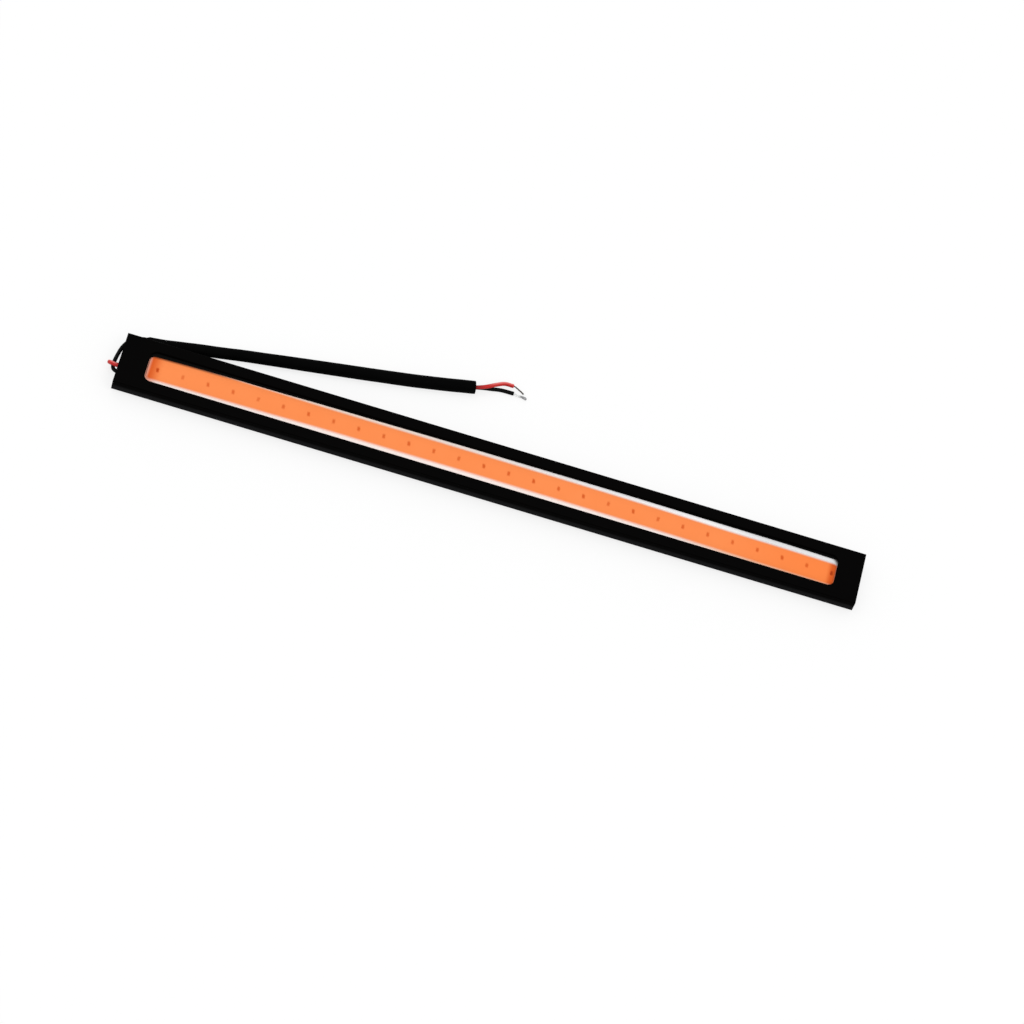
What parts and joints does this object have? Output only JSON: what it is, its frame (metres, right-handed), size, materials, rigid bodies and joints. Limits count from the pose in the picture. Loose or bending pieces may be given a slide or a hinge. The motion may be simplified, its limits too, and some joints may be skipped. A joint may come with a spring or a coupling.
{
  "type": "daytime running light",
  "caption": "Slim black bar lamp for a car: channel with a long window over an orange light strip, foam tape on its back and a sleeved two-wire lead.",
  "frame": {"origin": "middle of the release liner's underside, below the middle of the bar", "axes": "+X along the bar away from the end that the lead leaves, +Y towards the side that the lead lies on, +Z out of the lit face"},
  "size_m": [0.1726, 0.0311, 0.0044],
  "materials": {
    "housing": "black anodised, satin",
    "seal": "matte",
    "board": "white solder mask, satin",
    "dies": "satin",
    "phosphor": "translucent silicone with phosphor, satin",
    "solder": "bright",
    "resistor": "satin",
    "copper": "satin",
    "potting": "black resin, satin",
    "plug": "black silicone, satin",
    "foam": "closed-cell foam, matte",
    "liner": "plain film, gloss",
    "red_insulation": "satin",
    "black_insulation": "satin",
    "tinned_copper": "satin",
    "sleeve": "satin"
  },
  "bodies": {
    "root": {"housing": "housing", "seal": "seal", "circuit_board": "board", "led_dies": "dies", "phosphor_strip": "phosphor", "solder_joints": "solder", "resistors": "resistor", "conductor_ends": "copper", "potting": "potting", "lead_plug": "plug", "plain_plug": "plug", "foam_tape": "foam", "release_liner": "liner", "red_wire": "red_insulation", "black_wire": "black_insulation", "red_strand": "tinned_copper", "black_strands": "tinned_copper", "sleeve": "sleeve"}
  },
  "joints": []
}
